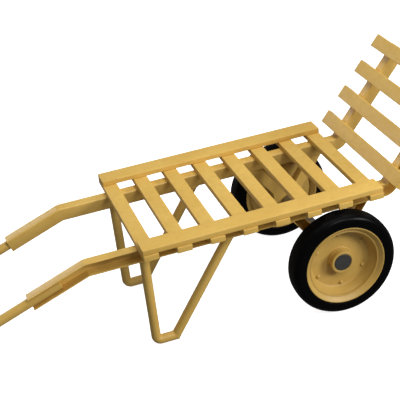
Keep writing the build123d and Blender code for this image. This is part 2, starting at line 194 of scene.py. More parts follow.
# %% Shader maths
class Value:
    """A shader socket that takes part in sums as a number does."""

    def __init__(self, finish, socket):
        self.finish = finish
        self.socket = socket

    def maths(self, operation, *others):
        """One Math node on this value and the others."""
        values = {i: other for i, other in enumerate((self,) + others)}
        return self.finish.node("ShaderNodeMath", {"operation": operation}, values)

    def __add__(self, other):
        return self.maths("ADD", other)

    def __radd__(self, other):
        return self.maths("ADD", other)

    def __sub__(self, other):
        return self.maths("SUBTRACT", other)

    def __rsub__(self, other):
        return self.finish.node("ShaderNodeMath", {"operation": "SUBTRACT"}, {0: other, 1: self})

    def __mul__(self, other):
        return self.maths("MULTIPLY", other)

    def __rmul__(self, other):
        return self.maths("MULTIPLY", other)

    def between(self, low, high):
        """0 below low, 1 above high and a smooth rise between them."""
        return self.finish.node("ShaderNodeMapRange", {"interpolation_type": "SMOOTHSTEP"},
                                {"Value": self, "From Min": low, "From Max": high})


class Finish:
    """A material with one Principled shader, whose varying sockets are set by expressions."""

    def __init__(self, name, **fixed):
        self.material = bpy.data.materials.new(name)
        self.material.use_nodes = True
        self.tree = self.material.node_tree
        self.shader = next(n for n in self.tree.nodes if n.type == "BSDF_PRINCIPLED")
        for socket, value in fixed.items():
            self.shader.inputs[socket.replace("_", " ")].default_value = value
        self.place = self.node("ShaderNodeTexCoord", output="Object")

    def node(self, kind, settings=None, values=None, output=0):
        """Adds a node: first its settings, then the values or links of its sockets."""
        added = self.tree.nodes.new(kind)
        for key, setting in (settings or {}).items():
            setattr(added, key, setting)
        for key, value in (values or {}).items():
            if isinstance(value, Value):
                self.tree.links.new(value.socket, added.inputs[key])
            else:
                added.inputs[key].default_value = value
        return Value(self, added.outputs[output])

    def noise(self, scale, detail=3.0, roughness=0.5, stretch=(1, 1, 1), seed=0.0):
        """Noise from 0 to 1 with so many waves to the metre. A stretch above 1 along an axis packs the waves
        closer along it, and one below 1 draws them out."""
        where = self.node("ShaderNodeMapping", None,
                          {"Vector": self.place, "Scale": stretch, "Location": (seed, seed / 3, -seed)})
        return self.node("ShaderNodeTexNoise", None,
                         {"Vector": where, "Scale": scale, "Detail": detail, "Roughness": roughness})

    def blend(self, factor, first, second):
        """Colour mixed from first to second by a factor."""
        mixer = self.node("ShaderNodeMix", {"data_type": "RGBA"}, {0: factor}, output=2)
        for key, colour in ((6, first), (7, second)):
            if isinstance(colour, Value):
                self.tree.links.new(colour.socket, mixer.socket.node.inputs[key])
            else:
                mixer.socket.node.inputs[key].default_value = (*colour, 1)
        return mixer

    def set(self, **varying):
        """Links expressions to sockets of the shader."""
        for socket, value in varying.items():
            self.tree.links.new(value.socket, self.shader.inputs[socket.replace("_", " ")])
        return self.material

    def bump(self, height, distance, strength=1.0):
        """Surface normal from a height, whose full range stands for a distance in metres."""
        return self.node("ShaderNodeBump", None,
                         {"Height": height, "Distance": distance, "Strength": strength})


print("finish helpers ready")

# %% [markdown]
# ## Ochre paint
# Deck and steel share one coat of ochre-yellow gloss that has gone a little flat. On wood the brush marks
# and the raised grain run along the board. On steel the coat is smoother, with a fine orange-peel texture.
# Old paint is never one colour: it fades in broad patches, collects dust and shows small dark scuffs.

# %% Paint
OCHRE = (0.700, 0.440, 0.098)
OCHRE_FADED = (0.760, 0.500, 0.125)
OCHRE_DEEP = (0.600, 0.360, 0.066)
SCUFF = (0.200, 0.125, 0.050)
# Dark brown that the painted shade on the wheels darkens the coat towards.
SHADE_BROWN = (0.150, 0.098, 0.034)


def aged_paint(finish, seed):
    """Colour and roughness of the coat: broad fading, finer mottle and sparse scuffs."""
    patches = finish.noise(4.5, 3, 0.55, seed=seed).between(0.34, 0.68)
    mottle = finish.noise(38, 4, 0.6, seed=seed + 3).between(0.30, 0.75)
    scuffs = finish.noise(95, 5, 0.7, seed=seed + 7).between(0.715, 0.76)
    body = finish.blend(patches * 0.65, OCHRE, OCHRE_FADED)
    shaded = finish.blend(mottle * 0.38, body, OCHRE_DEEP)
    colour = finish.blend(scuffs * 0.7, shaded, SCUFF)
    roughness = 0.36 + patches * 0.10 + mottle * 0.07 + scuffs * 0.2
    return colour, roughness, scuffs


def painted_wood(name, along, seed):
    """Ochre paint over planed wood, whose grain runs along one axis of the barrow."""
    finish = Finish(name, Specular_IOR_Level=0.36)
    colour, roughness, scuffs = aged_paint(finish, seed)
    stretch = tuple(0.06 if axis == along else 1.0 for axis in range(3))
    grain = finish.noise(230, 4, 0.6, stretch=stretch, seed=seed + 11)
    brush = finish.noise(620, 2, 0.5, stretch=stretch, seed=seed + 17)
    streaked = finish.blend(grain.between(0.52, 0.72) * 0.22, colour, OCHRE_DEEP)
    relief = grain * 0.7 + brush * 0.3 - scuffs * 0.5
    return finish.set(Base_Color=streaked, Roughness=roughness + grain * 0.08,
                      Normal=finish.bump(relief, 0.35 * MM, 0.55))


def painted_steel(name, seed, painted_shade=0.0):
    """Ochre paint over steel: orange-peel texture, and painted shade that darkens it in blotches towards a
    dark brown by a share from 0 to 1.
    """
    finish = Finish(name, Specular_IOR_Level=0.5)
    clean, roughness, scuffs = aged_paint(finish, seed)
    # Painted shade: the clean coat is darkened in blotches towards a dark brown, by the given share.
    shade_blotches = finish.noise(14, 4, 0.6, seed=seed + 13).between(0.2, 0.7)
    colour = finish.blend((0.75 + shade_blotches * 0.25) * painted_shade, clean, SHADE_BROWN)
    peel = finish.noise(420, 2, 0.5, seed=seed + 5)
    swell = finish.noise(60, 2, 0.5, seed=seed + 9)
    relief = peel * 0.4 + swell * 0.6 - scuffs * 0.4
    return finish.set(Base_Color=colour, Roughness=roughness,
                      Normal=finish.bump(relief, 0.30 * MM, 0.5))


ALONG_X, ALONG_Y = 0, 1
wood_across = painted_wood("ochre_paint_on_cross_boards", ALONG_Y, 2.0)
wood_lengthwise = painted_wood("ochre_paint_on_side_strips", ALONG_X, 8.0)
steel_paint = painted_steel("ochre_paint_on_steel", 5.0)
# The wheels' coat is darkened by painted shade, which stands in for the shade in their deep dishes.
wheel_paint = painted_steel("ochre_paint_on_wheels_with_painted_shade", 14.0, painted_shade=0.30)
print("paint:", [m.name for m in (wood_across, wood_lengthwise, steel_paint, wheel_paint)])

# %% [markdown]
# ## Rubber, bare steel and small parts
# The solid tyres are black rubber, almost clean on the side walls and slightly grey where they roll. The
# axle and its spacers are bare steel that oil has kept from rusting, with turning marks round them. The
# axle caps and the grip plugs are dark grey enamel, the bushes are bronze and the screws are dull zinc.

# %% Rubber
RUBBER = (0.0018, 0.0018, 0.0020)
RUBBER_DUSTY = (0.010, 0.0095, 0.009)
DUST_STARTS, DUST_FULL = 8 * MM, 1 * MM  # depths below the rolling surface


def tyre_rubber():
    """Black rubber. Dust gathers on the tread, which is the part furthest from the axle:
    distance = length of (x - axle x, z - axle z)."""
    finish = Finish("black_rubber", Specular_IOR_Level=0.06)
    axis = finish.node("ShaderNodeVectorMath", {"operation": "SUBTRACT"},
                       {0: finish.place, 1: (axle_x, 0, axle_z)})
    flat = finish.node("ShaderNodeVectorMath", {"operation": "MULTIPLY"}, {0: axis, 1: (1, 0, 1)})
    distance = finish.node("ShaderNodeVectorMath", {"operation": "LENGTH"}, {0: flat}, output="Value")
    tread = distance.between(wheel_radius - DUST_STARTS, wheel_radius - DUST_FULL)
    cloud = finish.noise(26, 4, 0.6, seed=1.0)
    speck = finish.noise(300, 3, 0.6, seed=4.0)
    dust = tread * cloud.between(0.35, 0.75) * 0.8 + speck.between(0.62, 0.75) * 0.12
    fine = finish.noise(900, 2, 0.5, seed=6.0)
    return finish.set(Base_Color=finish.blend(dust, RUBBER, RUBBER_DUSTY),
                      Roughness=0.24 + cloud * 0.07 + tread * 0.30,
                      Normal=finish.bump(fine * 0.5 + cloud * 0.5, 0.18 * MM, 0.5))


wheel_radius = axle_z - low_high("left_tyre")[0][2]
rubber = tyre_rubber()
print("rubber ready, wheel radius", round(wheel_radius, 4))


# %% Metals and enamel
ENAMEL = (0.038, 0.038, 0.037)
ENAMEL_DULLED = (0.058, 0.058, 0.055)
ENAMEL_SCRATCH = (0.16, 0.17, 0.18)


def bare_metal(name, colour, worn, roughness, seed):
    """Metal with turning marks round the axle: noise packed along Y makes thin rings."""
    finish = Finish(name, Metallic=1.0)
    rings = finish.noise(60, 3, 0.6, stretch=(0.5, 16, 0.5), seed=seed)
    stain = finish.noise(34, 4, 0.6, seed=seed + 2).between(0.42, 0.72)
    return finish.set(Base_Color=finish.blend(stain * 0.7, colour, worn),
                      Roughness=roughness + rings * 0.12 + stain * 0.18,
                      Normal=finish.bump(rings, 0.05 * MM, 0.5))


def dark_enamel():
    """Dark grey enamel with faint scratches and dulled patches."""
    finish = Finish("dark_enamel", Specular_IOR_Level=0.5)
    dull = finish.noise(70, 4, 0.6, seed=3.0).between(0.35, 0.7)
    scratch = finish.noise(160, 3, 0.7, stretch=(1, 1, 0.1), seed=9.0).between(0.66, 0.72)
    colour = finish.blend(dull * 0.5, ENAMEL, ENAMEL_DULLED)
    return finish.set(Base_Color=finish.blend(scratch * 0.4, colour, ENAMEL_SCRATCH),
                      Roughness=0.30 + dull * 0.16,
                      Normal=finish.bump(dull * 0.6 - scratch * 0.4, 0.06 * MM, 0.5))


oiled_steel = bare_metal("oiled_steel", (0.30, 0.30, 0.31), (0.13, 0.115, 0.10), 0.34, 2.0)
bronze = bare_metal("bronze", (0.55, 0.36, 0.16), (0.28, 0.17, 0.08), 0.30, 6.0)
zinc = bare_metal("dull_zinc", (0.50, 0.51, 0.52), (0.30, 0.30, 0.30), 0.42, 12.0)
enamel = dark_enamel()
print("metals:", [m.name for m in (oiled_steel, bronze, zinc, enamel)])


# %% Giving a piece its body and finish, and hiding the CAD pieces it stands for
def finished(piece, body, material, slot, *nodes):
    """The piece wears a material, moves with a body, and stands for the CAD nodes named."""
    piece.data.materials.clear()
    piece.data.materials.append(material)
    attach(piece, body)
    if nodes:
        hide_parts(*nodes)
    return piece


# %% [markdown]
# ## Boards
# Deck and headboard are the same planed lath, and the side strips are wider boards laid on top. A planed
# board has eased edges, and paint rounds them further. So each board is a rounded rectangle carried along
# its length, and at both ends the rectangle shrinks along a quarter circle to round the end as well.

# %% One board
EDGE_ROUND = 2.6 * MM
END_ROUND = 2.0 * MM


def board(name, centre, along, across, length, width, thickness):
    """Rounded box. Ring at distance s along the board is a rounded rectangle whose half width and half
    thickness are less by e * (1 - cos a) at the two ends, where s = length / 2 - e * (1 - sin a)."""
    turn = np.linspace(0, math.pi / 2, 5)
    rise = END_ROUND * (1 - np.sin(turn))
    inset = END_ROUND * (1 - np.cos(turn))
    reach = length / 2 - rise
    steps = np.linspace(-1, 1, 15)[1:-1] * (length / 2 - END_ROUND)
    place = np.concatenate([-reach[::-1], steps, reach])
    shrink = np.concatenate([inset[::-1], np.zeros(len(steps)), inset])
    corner = np.array([(1.0, 1.0), (-1.0, 1.0), (-1.0, -1.0), (1.0, -1.0)])
    arc = np.linspace(0, math.pi / 2, 6)
    quarter = np.stack([np.cos(arc), np.sin(arc)], axis=1)
    turns = [np.array([[0, -1], [1, 0]]), np.array([[-1, 0], [0, -1]]), np.array([[0, 1], [-1, 0]])]
    rings = np.vstack([quarter] + [quarter @ t.T for t in turns])
    signs = np.repeat(corner, len(arc), axis=0)
    inner = np.array([width / 2 - EDGE_ROUND, thickness / 2 - EDGE_ROUND])
    flat = signs * inner + EDGE_ROUND * rings
    half = np.array([width / 2, thickness / 2])
    sized = flat[None] * ((half - shrink[:, None]) / half)[:, None]
    along, across = np.array(along, float), np.array(across, float)
    up = np.cross(along, across)
    grid = (np.array(centre) + place[:, None, None] * along
            + sized[..., :1] * across + sized[..., 1:] * up)
    return grid_piece(name, grid)


# %% [markdown]
# The deck is eight laths across the rails, with a wider strip laid along each side on top of them. Each
# board takes its middle and its size from the box of the CAD piece that it stands for.

# %% Deck
DECK_LATHS = 8
for i in range(1, DECK_LATHS + 1):
    low, high = low_high(f"deck_slat_{i}")
    slat = board(f"deck_board_{i}", (low + high) / 2, (0, 1, 0), (1, 0, 0), *(high - low)[[1, 0, 2]])
    finished(slat, "frame", wood_across, "painted_wood", f"deck_slat_{i}")

for name in SIDES:
    low, high = low_high(f"{name}_side_strip")
    strip = board(f"{name}_strip", (low + high) / 2, (1, 0, 0), (0, 1, 0), *(high - low))
    finished(strip, "frame", wood_lengthwise, "painted_wood", f"{name}_side_strip")
print("deck boards and side strips made")

# %% [markdown]
# The headboard laths lean, so their boxes do not show their width. They are cut from the same stock as the
# deck laths, and the lean is the angle of a line through the middles of the lowest and the highest one.

# %% Headboard
HEADBOARD_LATHS = 4
middles = [np.mean(low_high(f"headboard_slat_{i}"), axis=0) for i in range(1, HEADBOARD_LATHS + 1)]
climb = (middles[-1] - middles[0]) / np.linalg.norm(middles[-1] - middles[0])
lean = math.atan2(climb[0], climb[2])
for i, middle in enumerate(middles, start=1):
    slat = board(f"headboard_lath_{i}", middle, (0, 1, 0), climb, slat_length, slat_width, slat_thickness)
    finished(slat, "frame", wood_across, "painted_wood", f"headboard_slat_{i}")
print(f"headboard leans {math.degrees(lean):.1f} degrees")

# %% [markdown]
# ## Channel rails
# Each rail is one length of channel bent twice: down into the handle and up into the headboard. A channel
# that is bent has the same section all along, so an outline carried along a path with two arcs is exactly
# how the real one is made. The outer corners of pressed channel are rounded, which catches the light.

# %% Rails
RAIL_WALL = 4 * MM
HANDLE_LENGTH = 228 * MM
HANDLE_DROP = math.radians(20)
BEND_BEFORE_DECK = 187 * MM
BEND_AFTER_DECK = 51 * MM
BEND_RADIUS = 35 * MM
rail_low, rail_high = low_high("left_rail")
web_y = rail_low[1]
rail_flange = rail_high[1] - rail_low[1]
rail_height = 50 * MM
rail_bottom = rail_top - rail_height
upright_reach = rail_high[0] - deck_front - BEND_AFTER_DECK - rail_height * math.cos(lean)
upright_length = upright_reach / math.sin(lean)
along_handle = np.array([-math.cos(HANDLE_DROP), 0, -math.sin(HANDLE_DROP)])
below_handle = np.array([math.sin(HANDLE_DROP), 0, -math.cos(HANDLE_DROP)])
along_upright = np.array([math.sin(lean), 0, math.cos(lean)])
behind_upright = np.array([math.cos(lean), 0, -math.sin(lean)])
handle_corner = np.array([deck_rear - BEND_BEFORE_DECK, 0, rail_top])
upright_corner = np.array([deck_front + BEND_AFTER_DECK, 0, rail_top])


def rail_path():
    """Middle line of the channel: handle, deck, upright, with an arc at both bends."""
    half = rail_height / 2
    handle_end = handle_corner + along_handle * HANDLE_LENGTH + below_handle * half
    handle_turn = handle_corner + np.array([half * math.tan(HANDLE_DROP / 2), 0, -half])
    rise = math.pi / 2 - lean
    upright_turn = upright_corner + np.array([half * math.tan(rise / 2), 0, -half])
    upright_end = upright_corner + along_upright * upright_length + behind_upright * half
    return rounded([handle_end, handle_turn, upright_turn, upright_end], BEND_RADIUS, 14, close=False)


def rail_outline(side):
    """Channel section open outwards: round outer corners, small fillets inside, eased flange tips."""
    w, f, h = RAIL_WALL, rail_flange, rail_height / 2
    points = [(0, -h), (0, h), (f, h), (f, h - w), (w, h - w), (w, w - h), (f, w - h), (f, -h)]
    corner_rounds = np.array([5, 5, 1.2, 1.2, 2, 2, 1.2, 1.2]) * MM
    return rounded(points, corner_rounds, 5) * (side, 1)


for name, side in SIDES.items():
    path = rail_path() + np.array([0, side * web_y, 0])
    rail = carried(f"{name}_channel", rail_outline(side), path, (0, 1, 0))
    finished(rail, "frame", steel_paint, "painted_steel", f"{name}_rail")
    points = np.array([v.co for v in rail.data.vertices])
    print(name, "channel spans", points.min(0).round(3), points.max(0).round(3))

# %% [markdown]
# ## Grips, legs and braces
# These are all the same 35 mm tube. The leg is bent once and then cut at half the angle between foot and
# brace, so that the two cut faces meet: a mitre. Sliding the last ring of points along the tube until each
# point lies on the cutting plane gives that cut exactly.

# %% Grips
GRIP_ROUND = 0.8 * MM
GRIP_RINGS = 30
PLUG_HEAD = 6 * MM
PLUG_ROUND = 4.5 * MM
PLUG_SEAM = 0.4 * MM


def stepped_path(first, last, count):
    """Evenly spaced points from first to last."""
    t = np.linspace(0, 1, count)[:, None]
    return (1 - t) * np.array(first) + t * np.array(last)


for name, side in SIDES.items():
    low, high = low_high(f"{name}_grip_tube")
    radius = (high[1] - low[1]) / 2
    middle_y = (high[1] + low[1]) / 2
    axis = handle_corner + below_handle * rail_height / 2 + np.array([0, middle_y, 0])
    lean_out = radius * math.sin(HANDLE_DROP)
    inner = (axis[0] - (high[0] - lean_out)) / math.cos(HANDLE_DROP)
    outer = (axis[0] - (low[0] + lean_out)) / math.cos(HANDLE_DROP)
    path = stepped_path(axis + along_handle * inner, axis + along_handle * outer, GRIP_RINGS)
    ends = np.ones(GRIP_RINGS)
    ends[[0, -1]] = 1 - GRIP_ROUND / radius
    path[1] = path[0] + along_handle * GRIP_ROUND
    path[-2] = path[-1] - along_handle * GRIP_ROUND
    grip = carried(f"{name}_grip", circle(radius, 48), path, (0, 1, 0), scale=ends)
    finished(grip, "frame", steel_paint, "painted_steel", f"{name}_grip_tube")
    bend = np.linspace(0, math.pi / 2, 8)
    out = np.concatenate([[PLUG_SEAM], PLUG_HEAD - PLUG_ROUND + PLUG_ROUND * np.sin(bend)])
    reach = np.concatenate([[radius - GRIP_ROUND / 2], radius - PLUG_ROUND + PLUG_ROUND * np.cos(bend)])
    plug = carried(f"{name}_grip_end", circle(1, 48), path[-1] + out[:, None] * along_handle,
                   (0, 1, 0), scale=reach)
    finished(plug, "frame", enamel, "dark_cap", f"{name}_grip_plug")
print("grips made")

# %% [markdown]
# The brace leans, so the rail cuts its end to an ellipse that is wider than the tube. Only the far edge of
# that ellipse can be read from the CAD box. The run of the brace follows from it by trying, measuring the
# slope and trying again, which settles after a few rounds.

# %% Legs and braces
LEG_BEND = 20 * MM
FOOT_REACH = 74 * MM
SETTLING_ROUNDS = 30
low, high = low_high("left_leg_tube")
tube_radius = (high[1] - low[1]) / 2
leg_x = low[0] + tube_radius
brace_high = low_high("left_leg_brace")[1]
foot = np.array([leg_x + FOOT_REACH, 0, tube_radius])
knee_rise = rail_bottom - tube_radius


def level_run(reach):
    """Level distance from the foot to the middle of the brace's top, when the far edge of its cut at the
    rail lies at reach: run = reach - tube radius / sin(slope), where tan(slope) = rise / run."""
    run = reach
    for _ in range(SETTLING_ROUNDS):
        slope = math.atan2(knee_rise, run)
        run = reach - tube_radius / math.sin(slope)
    return run


brace_run = np.array([level_run(brace_high[0] - foot[0]), 0, knee_rise])
brace_line = brace_run / np.linalg.norm(brace_run)
mitre = brace_line + np.array([1, 0, 0])
rail_face = np.array([0, 0, rail_bottom])
for name, side in SIDES.items():
    shift = np.array([0, side * (web_y + tube_radius), 0])
    top = np.array([leg_x, 0, rail_bottom])
    heel = np.array([leg_x, 0, tube_radius])
    bent = rounded([top, heel, foot], LEG_BEND, 16, close=False)
    upper = stepped_path(bent[0], bent[1], 12)
    path = np.vstack([upper[:-1], bent[1:]]) + shift
    leg = carried(f"{name}_leg", circle(tube_radius, 48), path, (0, 1, 0), end=(foot + shift, mitre))
    finished(leg, "frame", steel_paint, "painted_steel", f"{name}_leg_tube")
    path = stepped_path(foot, foot + brace_run, 16) + shift
    brace = carried(f"{name}_brace", circle(tube_radius, 48), path, (0, 1, 0),
                    start=(foot + shift, mitre), end=(rail_face, (0, 0, 1)))
    finished(brace, "frame", steel_paint, "painted_steel", f"{name}_leg_brace")
print("brace leans", round(math.degrees(math.atan2(brace_run[0], brace_run[2])), 1), "degrees")

# %% [markdown]
# ## Weld beads
# Where steel meets steel a welder has laid a bead, and paint has run over it. A bead is a thin round rope
# along the seam, and the ripples left by each dip of the rod make its thickness rise and fall. The bead
# between foot and brace is ground down, so it is thinner, and it stops before it would touch the ground.

# %% Beads
BEAD = 2.4 * MM
MITRE_BEAD = 1.2 * MM
RIPPLE = 4.5 * MM
RIPPLE_SHARE = 0.16


def bead(name, path, side, closed, radius=BEAD):
    """Rope along a seam. At a distance s along it the radius is r * (1 + share * sin(2 pi * s / ripple)),
    and an open bead thins to nearly nothing at both ends."""
    hops = np.linalg.norm(np.diff(path, axis=0), axis=1)
    distance = np.concatenate([[0], np.cumsum(hops)])
    ripple = 1 + RIPPLE_SHARE * np.sin(2 * math.pi * distance / RIPPLE)
    if not closed:
        ripple *= np.clip(np.minimum(distance, distance[-1] - distance) / (2 * radius), 0.05, 1) ** 0.5
    weld = carried(name, circle(radius, 10), path, side, loops_close=closed, scale=ripple)
    return finished(weld, "frame", steel_paint, "painted_steel")


def seam_ring(centre, first, second, count):
    """Ellipse: centre + first * cos a + second * sin a."""
    turn = np.linspace(0, 2 * math.pi, count, endpoint=False)[:, None]
    return np.array(centre) + np.array(first) * np.cos(turn) + np.array(second) * np.sin(turn)


slope = math.atan2(brace_run[2], brace_run[0])
under = np.array([0, 0, -BEAD / 2])
for name, side in SIDES.items():
    shift = np.array([0, side * (web_y + tube_radius), 0])
    across = np.array([0, tube_radius, 0])
    ring = seam_ring((leg_x, 0, rail_bottom), (tube_radius, 0, 0), across, 150) + shift + under
    bead(f"{name}_leg_weld", ring, (0, 0, 1), True)
    spread = np.array([tube_radius / math.sin(slope), 0, 0])
    ring = seam_ring(foot + brace_run, spread, across, 170) + shift + under
    bead(f"{name}_brace_weld", ring, (0, 0, 1), True)
    facing = mitre / np.linalg.norm(mitre)
    in_cut = np.cross(facing, (0, 1, 0)) * tube_radius / (facing @ brace_line)
    ring = seam_ring(foot, in_cut, across, 150) + shift
    clear = ring[:, 2] > MITRE_BEAD * 1.3
    start = -np.argmax(~clear)
    off_ground = np.roll(ring, start, axis=0)[np.roll(clear, start)]
    bead(f"{name}_mitre_weld", off_ground, facing, False, MITRE_BEAD)
print("weld beads laid")

# %% [markdown]
# ## Axle hangers
# A hanger is pressed from sheet, so every edge where its face turns into a flange is round. The CAD piece
# has the right shape with sharp edges. A copy of it is merged into clean faces and the Bevel modifier
# rounds its edges, which is quicker and truer than building the shape again.

# %% Eased copies of CAD pieces
EASE = 1.3 * MM
FINE_EASE = 0.8 * MM


def eased(node, name, width=EASE):
    """Copy of a CAD piece with its doubled points merged, flat areas joined and sharp edges rounded."""
    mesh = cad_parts[node].data.copy()
    mesh.name = name
    merged = bmesh.new()
    merged.from_mesh(mesh)
    bmesh.ops.remove_doubles(merged, verts=merged.verts, dist=0.02 * MM)
    bmesh.ops.dissolve_limit(merged, angle_limit=math.radians(0.6), verts=merged.verts, edges=merged.edges)
    merged.to_mesh(mesh)
    merged.free()
    piece = bpy.data.objects.new(name, mesh)
    bpy.context.scene.collection.objects.link(piece)
    bevel = piece.modifiers.new("eased_edges", "BEVEL")
    bevel.width = width
    bevel.segments = 3
    bevel.limit_method = "ANGLE"
    bevel.angle_limit = math.radians(35)
    mesh.shade_smooth()
    mesh.set_sharp_from_angle(angle=math.radians(50))
    return piece


for name in SIDES:
    finished(eased(f"{name}_hanger", f"{name}_axle_hanger"), "frame", steel_paint, "painted_steel",
             f"{name}_hanger")
    finished(eased(f"{name}_axle_housing", f"{name}_housing", FINE_EASE), "frame", steel_paint,
             "painted_steel", f"{name}_axle_housing")
print("hangers eased")

# %% [markdown]
# ## Wheels
# A wheel is a solid rubber tyre on a rolled rim, with a deep dished disc on the outside and a shallow disc
# behind it, held together by six rivets. All of it is round about the axle, so every part is an outline
# of radius against distance from the wheel's middle, turned about the axle line.

# %% Wheel sizes
tyre_low, tyre_high = low_high("left_tyre")
half_tyre = (tyre_high[1] - tyre_low[1]) / 2
wheel_middle = (tyre_high[1] + tyre_low[1]) / 2
rim_high = low_high("left_rim")[1]
lip_face = rim_high[1] - wheel_middle
lip_radius = rim_high[2] - axle_z
disc_low, disc_high = low_high("left_outer_disc")
weld_radius = disc_high[2] - axle_z
disc_back = disc_low[1] - wheel_middle
hub_low, hub_high = low_high("left_hub")
hub_radius = hub_high[2] - axle_z
hub_inner = hub_low[1] - wheel_middle
hub_nose = hub_high[1] - wheel_middle
axle_radius = (axle_high[2] - axle_low[2]) / 2
SHEET = 3 * MM
RIM_WALL = 3 * MM
RIM_BASE = 133 * MM
LIP_ROOT = 149 * MM
CONE_DEPTH = 15.5 * MM
SEAT_GAP = 0.3 * MM
print(f"wheel middle {wheel_middle:.3f}, lip radius {lip_radius:.4f}, disc back {disc_back:.4f}")


# %% [markdown]
# The tyre fills the rim's flare and stands proud of its lip. Its side walls are flat, its shoulders are
# round and its tread is a little higher in the middle, so that it wears evenly.

# %% Tyre
SHOULDER = 24 * MM
CROWN = 1.2 * MM


def mirrored(outline):
    """Outline followed by its mirror image in the wheel's middle plane, as one closed run."""
    return np.vstack([outline, outline[::-1] * (1, -1)])


def tyre_outline():
    """Bore, bead, flat side wall, round shoulder and a tread that is a little crowned:
    radius = r - crown * (distance / half width) ** 2."""
    flare = math.atan2(CONE_DEPTH, LIP_ROOT - RIM_BASE)
    under_rim = RIM_WALL + SEAT_GAP
    foot = (RIM_BASE + under_rim, lip_face - CONE_DEPTH - under_rim * math.tan((math.pi / 2 - flare) / 2))
    root = (LIP_ROOT + under_rim * math.tan(flare / 2), lip_face - under_rim)
    bead_edge = (lip_radius + SEAT_GAP, lip_face - under_rim)
    bead_top = (lip_radius + SEAT_GAP + 3 * MM, half_tyre)
    wall = [foot, root, bead_edge, bead_top, (wheel_radius - CROWN - SHOULDER, half_tyre)]
    bend = np.linspace(0, math.pi / 2, 14)[1:]
    shoulder = np.stack([wheel_radius - CROWN - SHOULDER * (1 - np.sin(bend)),
                         half_tyre - SHOULDER * (1 - np.cos(bend))], axis=1)
    reach = np.linspace(half_tyre - SHOULDER, 0, 6)[1:-1]
    crowned = CROWN * (reach / (half_tyre - SHOULDER)) ** 2
    tread = np.stack([wheel_radius - crowned, reach], axis=1)
    softened = rounded(wall, [0, 0, 0, 1.6 * MM, 0], 3, close=False)
    return mirrored(np.vstack([softened, shoulder, tread]))


for name, side in SIDES.items():
    tyre = turned(f"{name}_solid_tyre", tyre_outline(), side, wheel_middle, 192)
    finished(tyre, f"{name}_wheel", rubber, "tyre", f"{name}_tyre")
print("tyres made")

# %% [markdown]
# The rim is rolled from flat bar: a flat base, a flared side at each edge and a narrow lip that shows as a
# thin bright ring against the rubber. Its outline is one line for the inside and one for the outside.

# %% Rim
def rim_outline():
    """Inside line and outside line of the rim, a wall apart, with a round edge on the lip."""
    flare = math.atan2(CONE_DEPTH, LIP_ROOT - RIM_BASE)
    foot_shift = RIM_WALL * math.tan((math.pi / 2 - flare) / 2)
    root_shift = RIM_WALL * math.tan(flare / 2)
    inside = [(RIM_BASE, 0), (RIM_BASE, lip_face - CONE_DEPTH), (LIP_ROOT, lip_face), (lip_radius, lip_face)]
    outside = [(lip_radius, lip_face - RIM_WALL), (LIP_ROOT + root_shift, lip_face - RIM_WALL),
               (RIM_BASE + RIM_WALL, lip_face - CONE_DEPTH - foot_shift), (RIM_BASE + RIM_WALL, 0)]
    corner_rounds = np.array([0, 1.8, 2.5, 1.2, 1.2, 1, 1, 0]) * MM
    return rounded(inside + outside, corner_rounds, 5, close=False)


def both_halves(half):
    """Closed outline from the half on the outer side of the wheel. Its first and last points lie on the
    middle plane, so the mirrored half leaves them out."""
    return np.vstack([half, half[1:-1][::-1] * (1, -1)])


for name, side in SIDES.items():
    rim = turned(f"{name}_rolled_rim", both_halves(rim_outline()), side, wheel_middle, 160)
    finished(rim, f"{name}_wheel", wheel_paint, "painted_steel", f"{name}_rim")
print("rims made")


# %% [markdown]
# Both discs are pressed from sheet of one thickness. So only one face is drawn, as a line with its bends,
# and the other face is the same line moved along its normal by the thickness.

# %% Discs
def sheet_outline(points, radii, thickness=SHEET):
    """Outline of bent sheet: the line of one face with its bends, and the same line moved by the sheet's
    thickness along its normal, run back the other way."""
    line = rounded(points, radii, 8, close=False)
    run = np.gradient(line, axis=0)
    run /= np.linalg.norm(run, axis=1)[:, None]
    normal = np.stack([-run[:, 1], run[:, 0]], axis=1)
    turn = np.einsum("ij,ij->i", run[:-1], run[1:]).clip(-1, 1)
    stretch = np.ones(len(line))
    stretch[1:] = 1 / np.sqrt((1 + turn) / 2)
    return np.vstack([line, (line + normal * thickness * stretch[:, None])[::-1]])


neck_radius = hub_radius + SEAT_GAP
land = disc_high[1] - wheel_middle
WELD_LAND = 9 * MM
HUB_NECK = 13 * MM
DISH_FOOT = 115 * MM
dish_line = [(neck_radius, disc_back + HUB_NECK), (neck_radius, disc_back), (DISH_FOOT, disc_back),
             (weld_radius, land - WELD_LAND), (weld_radius, land)]
dish = sheet_outline(dish_line, np.array([0, 6, 10, 6, 0]) * MM)
inner_face = disc_back - SHEET
pan_line = [(neck_radius, inner_face), (weld_radius, inner_face), (weld_radius, disc_back + WELD_LAND)]
pan = sheet_outline(pan_line, np.array([0, 8, 0]) * MM)
for name, side in SIDES.items():
    outer = turned(f"{name}_dished_disc", dish, side, wheel_middle, 160)
    finished(outer, f"{name}_wheel", wheel_paint, "painted_steel", f"{name}_outer_disc")
    inner = turned(f"{name}_back_disc", pan, side, wheel_middle, 160)
    finished(inner, f"{name}_wheel", wheel_paint, "painted_steel", f"{name}_inner_disc")
print("dish spans", dish.min(0).round(4), dish.max(0).round(4))

# %% [markdown]
# The edge of the dish is welded to the rim all the way round. Under paint the bead shows as one narrow
# bright ring. It is a small circle turned about the axle, and its size swells and shrinks a little.

# %% Disc weld
DISC_BEAD = 1.9 * MM
for name, side in SIDES.items():
    rope = circle(DISC_BEAD, 12) + (RIM_BASE, land - DISC_BEAD * 0.3)
    weld = turned(f"{name}_disc_weld", rope, side, wheel_middle, 160)
    finished(weld, f"{name}_wheel", wheel_paint, "painted_steel")
print("disc welds laid, radius", round(RIM_BASE, 4))

# %% [markdown]
# The hub is a barrel with a rounded nose and a bronze bush in its bore. The axle does not turn, so the
# cap on its end stays still with the frame. Small gaps are left round the axle and the cap, because
# curved faces in a mesh are flat facets that would cut into each other as the wheel turns.

